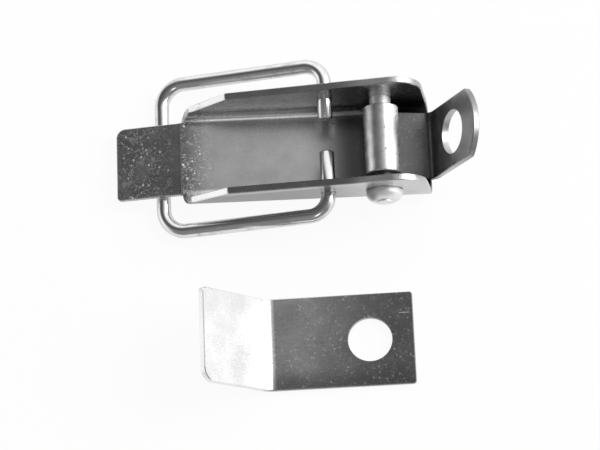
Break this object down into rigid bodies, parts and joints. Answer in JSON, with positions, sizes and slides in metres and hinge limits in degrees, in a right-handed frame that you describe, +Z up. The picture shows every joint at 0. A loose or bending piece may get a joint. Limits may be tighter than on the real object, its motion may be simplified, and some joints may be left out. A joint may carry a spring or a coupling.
{
  "type": "over-centre toggle latch",
  "caption": "Over-centre toggle latch: folded lever with wire bail on a curled screw-on bracket, and a folded keeper whose slanted hook the bail pulls on.",
  "frame": {"origin": "middle of the keeper screw hole, on the keeper underside, which lies on the surface", "axes": "+X along the latch from the finger tongue to the base bracket, +Y across it from the keeper to the latch, +Z up from the surface"},
  "size_m": [0.0551, 0.0494, 0.0146],
  "materials": {
    "lever_sheet": "bright zinc plated sheet, finely mottled",
    "bracket_sheet": "bright zinc plated sheet",
    "bail_wire": "bright plated round wire",
    "rivet_steel": "bright plated rivet",
    "keeper_sheet": "bright zinc plated sheet, finely mottled"
  },
  "bodies": {
    "base": {"base_bracket": "bracket_sheet", "keeper": "keeper_sheet"},
    "lever": {"lever": "lever_sheet", "pivot_rivet": "rivet_steel"},
    "bail": {"bail": "bail_wire"}
  },
  "joints": [
    {"name": "lever_swing", "type": "hinge", "parent": "base", "child": "lever", "pos_m": [0.00345, 0.02895, 0.00587], "axis": [0, 1, 0], "range_deg": [0, 122]},
    {"name": "bail_swing", "type": "hinge", "parent": "lever", "child": "bail", "pos_m": [-0.00483, 0.02895, 0.00641], "axis": [0, -1, 0], "range_deg": [0, 350]}
  ]
}
